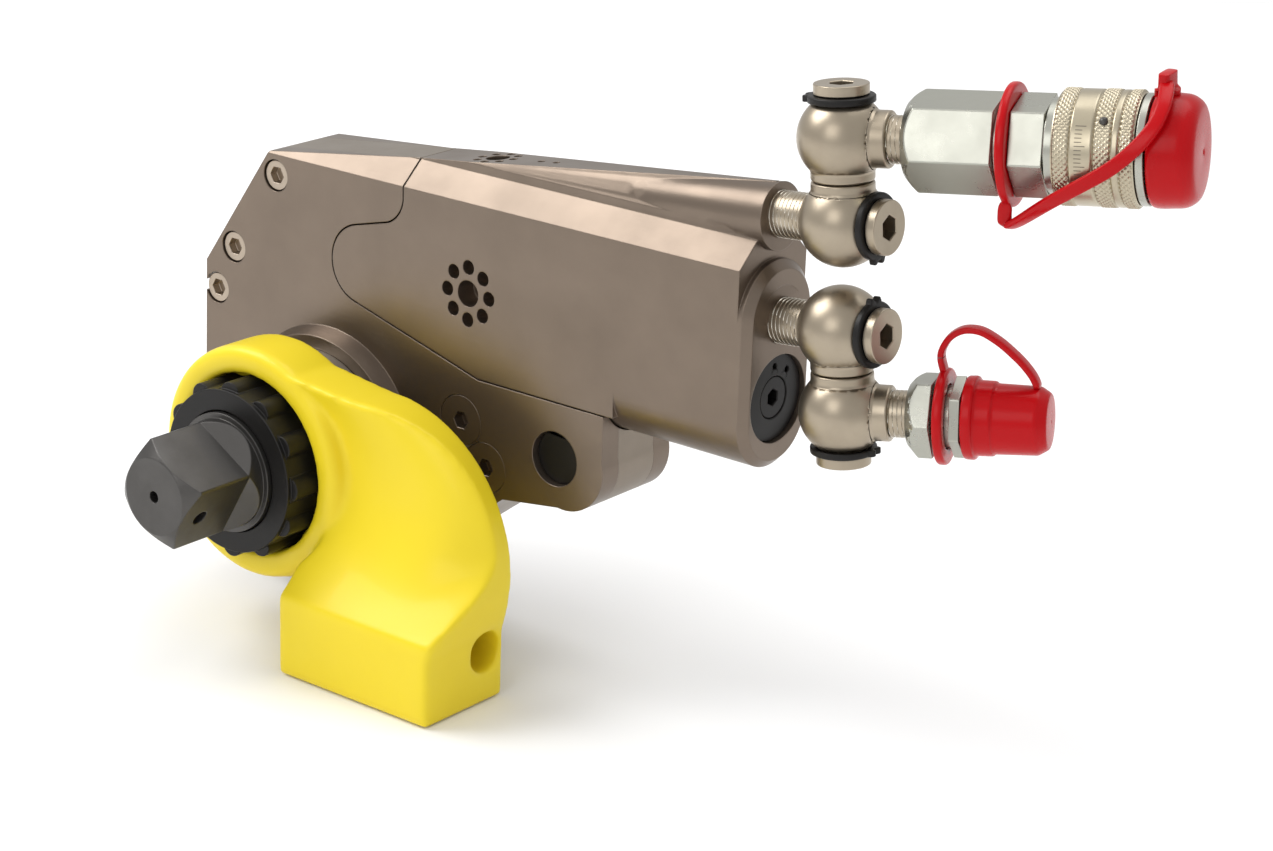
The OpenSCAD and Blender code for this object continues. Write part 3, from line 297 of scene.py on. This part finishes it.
# Swivels
# Pairs of nickel-plated balls turn on hollow posts, each held by a black spring ring.
# The posts and nipples are turned bar with rolled pipe threads, left bright.
ball_nickel = grained("ball_nickel", (180, 168, 149), (150, 138, 121), 0.95, 0.3, 0.4, blotch=45.0)
thread_bright = grained("thread_bright", (214, 208, 196), (190, 182, 168), 0.97, 0.2, 0.32, blotch=120.0)
for level in ("upper", "lower"):
    for part in ("port_post", "ball_one", "post_two", "ball_two", "nipple"):
        edge = 0.7 if "ball" in part else 0.35
        machined_copy(f"{level}_{part}", ball_nickel, edge, 3)
joint_at = {joint["name"]: joint for joint in frame["record"]["behaviour"]["joints"]}


def line_of(turning, pointing):
    """Axes of a turned piece: origin, length, side and up.

    Origin and up come from a hinge, the length from another joint, and the side is up cross length.
    """
    origin = np.array(joint_at[turning]["pos_m"])
    along = np.array(joint_at[pointing]["axis"])
    up = np.array([0.0, 1.0, 0.0]) if turning == pointing else np.array(joint_at[turning]["axis"])
    along = along / np.linalg.norm(along)
    up = up - along * (up @ along)
    up = up / np.linalg.norm(up)
    return origin, along, np.cross(up, along), up


def set_on(line, s, radius, angle):
    """Points at a station along the line, a distance from it (millimetres) and an angle about it (radians)."""
    origin, along, side, up = line
    s, radius, angle = np.broadcast_arrays(s, radius, angle)
    outward = np.cos(angle)[..., None] * side + np.sin(angle)[..., None] * up
    return origin + MM * (s[..., None] * along + radius[..., None] * outward)


def surface(name, points, around, along, finish):
    """Quads over a grid of points, joined to themselves the first way, the second way, both or neither."""
    crease_from = np.radians(50)
    m, n = points.shape[:2]
    a, b = np.meshgrid(np.arange(m - (not around)), np.arange(n - (not along)), indexing="ij")
    a2, b2 = (a + 1) % m, (b + 1) % n
    faces = np.stack([a * n + b, a2 * n + b, a2 * n + b2, a * n + b2], axis=-1).reshape(-1, 4)
    mesh = bpy.data.meshes.new(name)
    mesh.from_pydata(points.reshape(-1, 3).tolist(), [], faces.tolist())
    mesh.shade_smooth()
    mesh.set_sharp_from_angle(angle=crease_from)
    mesh.materials.append(finish)
    piece = bpy.data.objects.new(name, mesh)
    bpy.context.scene.collection.objects.link(piece)
    return piece


def rolled_thread(name, line, start, end, radius, body):
    """A single-start thread.

    The radius falls from the crest by a triangle wave of the station over the pitch less the turn,
    clipped to a narrow flat at crest and root.
    """
    pitch, depth, proud, slope, flat = 1.34, 0.85, 0.06, 1.25, 0.1
    per_pitch, around = 10, 72
    s = np.linspace(start, end, int((end - start) / pitch * per_pitch))
    angle = np.linspace(0, 2 * np.pi, around, endpoint=False)[:, None]
    wave = np.abs(2 * ((s / pitch - angle / (2 * np.pi)) % 1) - 1)
    crest = radius + proud - depth * np.clip(slope * wave - flat, 0, 1)
    thread = surface(name, set_on(line, s[None, :], crest, angle), True, False, thread_bright)
    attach(thread, body)


def softened(corners, radius, steps=5):
    """A closed outline, each corner replaced by a parabola that leaves its sides a set length from it."""
    most_of_side = 0.45
    corners = np.array(corners, float)
    before, after = np.roll(corners, 1, axis=0) - corners, np.roll(corners, -1, axis=0) - corners
    cut = []
    for side in (before, after):
        length = np.linalg.norm(side, axis=1, keepdims=True)
        cut.append(corners + side / length * np.minimum(radius, most_of_side * length))
    t = np.linspace(0, 1, steps)[None, :, None]
    curve = (1 - t) ** 2 * cut[0][:, None] + 2 * t * (1 - t) * corners[:, None] + t**2 * cut[1][:, None]
    return curve.reshape(-1, 2)


ring_outline = softened(
    [(11.1, 6.95), (10.4, 8.0), (10.3, 9.75), (12.0, 9.75), (12.35, 9.3), (12.35, 6.95)], 0.3
)


def spring_ring(name, line, ears, body):
    """A closed outline carried round the line, its outer points raised by two ears.

    Each ear is a narrow bell of the angle, the exponential of minus a fourth power.
    """
    ear_apart, ear_half, ear_height, ear_from, ear_rise, around = 0.17, 0.09, 1.3, 8.6, 1.0, 180
    station, radius = ring_outline[None, :, 0], ring_outline[None, :, 1]
    turn = np.linspace(0, 2 * np.pi, around, endpoint=False)[:, None]
    away = (turn - ears + np.pi) % (2 * np.pi) - np.pi
    bells = np.exp(-(((np.abs(away) - ear_apart) / ear_half) ** 4))
    outer = np.clip((radius - ear_from) / ear_rise, 0, 1)
    points = set_on(line, station, radius + ear_height * bells * outer, turn)
    ring = surface(name, points, True, True, black_oxide)
    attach(ring, body)
    return ring


coupling_line = {level: line_of(f"{level}_yaw", f"{level}_cap_pull") for level in ("upper", "lower")}
post_r, port_start, port_end, nipple_start, nipple_end = 6.9, -27.0, -9.5, 12.5, 21.0
for level, way, port_ears, post_ears in (("upper", 1, 0.0, 200.0), ("lower", -1, 180.0, 170.0)):
    port_line = line_of(f"{level}_roll", f"{level}_roll")
    rolled_thread(f"{level}_port_thread", port_line, port_start, port_end, post_r, "housing")
    rolled_thread(
        f"{level}_nipple_thread", coupling_line[level], nipple_start, nipple_end, post_r, f"{level}_coupling"
    )
    port_ring = spring_ring(f"{level}_port_ring_dressed", port_line, np.radians(port_ears), "housing")
    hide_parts("port_rings")
    origin, along, side, up = line_of(f"{level}_yaw", f"{level}_yaw")
    post_line = (origin, way * along, way * side, up)
    post_ring = spring_ring(
        f"{level}_post_ring_dressed", post_line, np.radians(post_ears), f"{level}_swivel"
    )
    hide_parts(f"{level}_post_ring")

# Couplings
# Hexagons and noses turned from bar and zinc plated, screwed on the nipples.
# The sleeve slides on the core, with rolled knurling in three bands and cut graduations in a smooth one.
zinc = grained("zinc", (184, 184, 174), (164, 164, 154), 0.92, 0.24, 0.34, blotch=70.0, edge=0.3)
for node in ("upper_adapter", "coupler_core", "lower_coupler"):
    machined_copy(node, zinc, 0.35)
machined_copy("locking_ball", oiled_steel, 0.0)
sleeve_start, sleeve_end, sleeve_r, sleeve_bore, sleeve_steps = 63.4, 86.0, 16.3, 13.5, 116
knurls = ((0.3, 4.9), (11.5, 16.3), (18.6, 22.3))
knurl_count, knurl_pitch, knurl_depth, knurl_steps = 64, 1.6, 0.45, 6
plain_less, groove_depth, groove_half, end_round = 0.25, 0.45, 0.28, 0.5


def sleeve_radius(s, angle):
    """Outer radius of the sleeve.

    In a knurled band it is the lower of two crossed triangle waves, and between the bands it is plain.
    A bell-shaped groove marks each end of a band, and the sleeve's own ends fall off as a parabola.
    """
    across, up_down = knurl_count * angle / (2 * np.pi), (s - sleeve_start) / knurl_pitch
    one = np.abs(2 * ((across + up_down) % 1) - 1)
    two = np.abs(2 * ((across - up_down) % 1) - 1)
    radius = np.full(np.broadcast(s, angle).shape, sleeve_r - plain_less)
    for low, high in knurls:
        inside = (s > sleeve_start + low) & (s < sleeve_start + high)
        radius = np.where(inside, sleeve_r - knurl_depth * np.maximum(one, two), radius)
        for edge in (low, high):
            near = np.abs(s - sleeve_start - edge)
            radius = radius - groove_depth * np.exp(-((near / groove_half) ** 2))
    ends = np.minimum(s - sleeve_start, sleeve_end - s)
    return radius - end_round * np.clip(1 - ends / end_round, 0, 1) ** 2


s = np.linspace(sleeve_start, sleeve_end, sleeve_steps)
turn = np.linspace(0, 2 * np.pi, knurl_count * knurl_steps, endpoint=False)[:, None]
stations = np.concatenate([s, [sleeve_end, sleeve_start]])
radii = np.concatenate([sleeve_radius(s[None, :], turn), np.full((turn.size, 2), sleeve_bore)], axis=1)
sleeve_zinc = grained("sleeve_zinc", (196, 186, 164), (170, 160, 138), 0.94, 0.24, 0.36, blotch=80.0)
sleeve_points = set_on(coupling_line["upper"], stations[None, :], radii, turn)
sleeve = surface("sleeve_dressed", sleeve_points, True, True, sleeve_zinc)
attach(sleeve, "sleeve")
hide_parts("locking_sleeve")
tick_start, tick_long, tick_short, tick_half, tick_less = 70.0, 3.0, 2.0, 0.007, 0.22
tick_first, tick_end, tick_step, tick_group = 148, 216, 4.0, 5
dark_cut = grained("dark_cut", (92, 86, 78), (112, 104, 94), 0.4, 0.5, 0.6)
for k, angle in enumerate(np.radians(np.arange(tick_first, tick_end, tick_step))):
    reach = tick_long if k % tick_group == 0 else tick_short
    across, station = np.meshgrid(
        [-tick_half, tick_half], np.linspace(tick_start, tick_start + reach, 3), indexing="ij"
    )
    tick = set_on(coupling_line["upper"], station, sleeve_r - tick_less, angle + across)
    mark = surface(f"graduation_{k:02d}", tick, False, False, dark_cut)
    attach(mark, "sleeve")

# Dust caps
# Soft red plastic moulded in one with its strap: a ring round the coupling, a thin band and the cap.
# Each cap is pulled off along the coupling and hangs on its band.
red_plastic = grained("red_plastic", (190, 6, 16), (170, 4, 12), 0.0, 0.2, 0.3, streak=200.0, gloss=0.18)


def turned(name, line, outline, finish, steps=120):
    """A closed outline of stations and radii carried round the line."""
    turn = np.linspace(0, 2 * np.pi, steps, endpoint=False)[:, None]
    points = set_on(line, outline[None, :, 0], outline[None, :, 1], turn)
    return surface(name, points, True, True, finish)


def band(name, line, knots, wide, thick, finish):
    """A rounded strip along a smooth curve near knots (station, side, up), its flat facing off the line.

    The curve is the knots' polygon, each point averaged with its neighbours over and over.
    The section follows the signed square roots of cosine and sine, and shrinks at both ends as a quarter
    circle does.
    """
    steps, rounds, end_steps, end_least, around = 140, 60, 5, 0.0004, 24
    knots = np.array(knots, float)
    at = np.concatenate([[0], np.cumsum(np.linalg.norm(np.diff(knots, axis=0), axis=1))])
    t = np.linspace(0, at[-1], steps)
    path = np.stack([np.interp(t, at, knots[:, k]) for k in range(3)], axis=1)
    for _ in range(rounds):
        path[1:-1] = 0.25 * path[:-2] + 0.5 * path[1:-1] + 0.25 * path[2:]
    ahead = np.gradient(path, axis=0)
    ahead = ahead / np.linalg.norm(ahead, axis=1, keepdims=True)
    outward = path * [0, 1, 1]
    outward = outward - ahead * np.sum(outward * ahead, axis=1, keepdims=True)
    outward = outward / np.linalg.norm(outward, axis=1, keepdims=True)
    across = np.cross(ahead, outward)
    end = np.minimum(np.arange(steps), np.arange(steps)[::-1])
    tip = np.sqrt(np.clip(1 - (1 - end / end_steps) ** 2, end_least, 1))
    size = tip * (end < end_steps) + (end >= end_steps)
    a = np.linspace(0, 2 * np.pi, around, endpoint=False)[:, None, None]
    through, over = (np.sign(wave) * np.abs(wave) ** 0.5 for wave in (np.cos(a), np.sin(a)))
    local = path + size[:, None] * (thick / 2 * through * outward + wide / 2 * over * across)
    origin, along, side, up = line
    points = origin + MM * (local[..., :1] * along + local[..., 1:2] * side + local[..., 2:] * up)
    return surface(name, points, True, False, finish)


upper_cap_corners = [
    (89.0, 12.6), (89.0, 15.6), (91.5, 15.9), (98.6, 15.4), (101.6, 13.2),
    (101.9, 9.0), (102.0, 0.02), (98.6, 0.02), (98.6, 12.6),
]
lower_cap_corners = [
    (36.4, 8.4), (36.4, 12.0), (39.4, 12.1), (39.8, 10.9), (44.6, 10.8), (45.0, 10.2),
    (57.4, 9.9), (60.4, 8.0), (60.6, 0.02), (57.0, 0.02), (57.0, 8.4),
]
upper_cap_round, lower_cap_round, ring_round = 1.6, 0.7, 1.0
upper_cap_outline = softened(upper_cap_corners, upper_cap_round)
upper_cap = turned("upper_cap_dressed", coupling_line["upper"], upper_cap_outline, red_plastic)
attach(upper_cap, "upper_cap_body")
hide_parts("upper_cap")
lug_path, lug_wide, lug_thick = [(92.2, -0.5, 12), (92.2, -1.5, 17), (92.4, -2.0, 22.0)], 7.0, 3.4
lug = band("upper_cap_lug", coupling_line["upper"], lug_path, lug_wide, lug_thick, red_plastic)
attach(lug, "upper_cap_body")
lower_cap_outline = softened(lower_cap_corners, lower_cap_round)
lower_cap = turned("lower_cap_dressed", coupling_line["lower"], lower_cap_outline, red_plastic)
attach(lower_cap, "lower_cap_body")
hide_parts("lower_cap")
strap_thick = 2.0
upper_path = [
    (92.4, -2.5, 19.6), (93.8, -11.4, 15.2), (92.1, -16.4, 9.3), (87.3, -18.6, 3.6),
    (80.6, -18.8, -2.1), (72.1, -17.6, -7.1), (63.1, -15.0, -12.6), (52.5, -7.6, -20.2),
    (47.7, -5.5, -23.2), (48.2, -6.2, -21.0), (49.4, -8.6, -14.0),
]
lower_path = [
    (30.2, 0, 12.6), (28.6, 0, 18.5), (31.4, 0, 23.7), (35.5, 0, 26.2), (40.7, 0, 26.0),
    (46.5, 0, 22.4), (52.2, 0, 17.3), (56.0, 0, 12.6), (57.0, 0, 9.2),
]
for level, path, wide, ring, low, high in (
    ("upper", upper_path, 4.0, [(48.2, 11.6), (48.2, 17.3), (50.8, 17.3), (50.8, 11.6)], 52.0, 90.0),
    ("lower", lower_path, 5.0, [(28.7, 9.3), (28.7, 14.0), (31.5, 14.0), (31.5, 9.3)], 33.0, 54.0),
):
    line = coupling_line[level]
    loop = turned(f"{level}_strap_ring", line, softened(ring, ring_round), red_plastic)
    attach(loop, f"{level}_coupling")
    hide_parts(f"{level}_strap")
    strip = band(f"{level}_strap_band", line, path, wide, strap_thick, red_plastic)
    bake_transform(strip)

# Floor, light and camera
# A pale floor and three soft lamps under a white sky.
# The lens and its place match the photograph.
floor_half, floor_gap = 6.0, 0.0004
floor_z = cad_low[2] - floor_gap
floor_mesh = bpy.data.meshes.new("floor")
floor_mesh.from_pydata(
    [(x * floor_half, y * floor_half, floor_z) for x, y in ((-1, -1), (1, -1), (1, 1), (-1, 1))],
    [],
    [(0, 1, 2, 3)],
)
floor = bpy.data.objects.new("floor", floor_mesh)
bpy.context.scene.collection.objects.link(floor)
pale = bpy.data.materials.new("pale_floor")
pale.use_nodes = True
pale_shader = pale.node_tree.nodes["Principled BSDF"]
pale_shader.inputs["Base Color"].default_value = (0.92, 0.92, 0.92, 1)
pale_shader.inputs["Roughness"].default_value = 0.9
floor_mesh.materials.append(pale)
floor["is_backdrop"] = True

world = bpy.data.worlds.new("studio")
world.use_nodes = True
sky = world.node_tree.nodes["Background"]
sky.inputs["Color"].default_value = (1, 1, 1, 1)
sky.inputs["Strength"].default_value = 0.7
bpy.context.scene.world = world
centre = (Vector(cad_low) + Vector(cad_high)) / 2
for name, place, size, watts in (
    ("key", (-0.95, -0.5, 1.3), 1.0, 18.0),
    ("fill", (0.3, -1.6, 0.9), 0.9, 5.0),
    ("top", (0.1, 0.6, 1.6), 1.2, 9.0),
):
    lamp = bpy.data.lights.new(name, "AREA")
    lamp.size = size
    lamp.energy = watts
    holder = bpy.data.objects.new(name, lamp)
    holder.location = Vector(place)
    holder.rotation_euler = (centre - Vector(place)).to_track_quat("-Z", "Y").to_euler()
    bpy.context.scene.collection.objects.link(holder)
    holder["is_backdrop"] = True

image_px, focal_px, sensor_mm, clip_m = 1273, 3082.65, 36, 0.01
eye = Vector((0.6554, -0.6848, 0.3407))
azimuth, elevation, roll = np.radians((37.717, 19.493, 2.012))
level_back = np.cos(elevation)
back = Vector((np.sin(azimuth) * level_back, -np.cos(azimuth) * level_back, np.sin(elevation)))
right = Vector((np.cos(azimuth), np.sin(azimuth), 0))
up = back.cross(right)
across = np.cos(roll) * right + np.sin(roll) * up
over = -np.sin(roll) * right + np.cos(roll) * up
lens = bpy.data.cameras.new("lens")
lens.sensor_width = sensor_mm
lens.lens = focal_px / image_px * sensor_mm
lens.clip_start = clip_m
camera = bpy.data.objects.new("camera", lens)
facing = Matrix((across, over, back)).transposed().to_4x4()
camera.matrix_world = Matrix.Translation(eye) @ facing
bpy.context.scene.collection.objects.link(camera)
bpy.context.scene.camera = camera
bpy.context.scene.view_settings.view_transform = "Standard"

low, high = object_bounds()
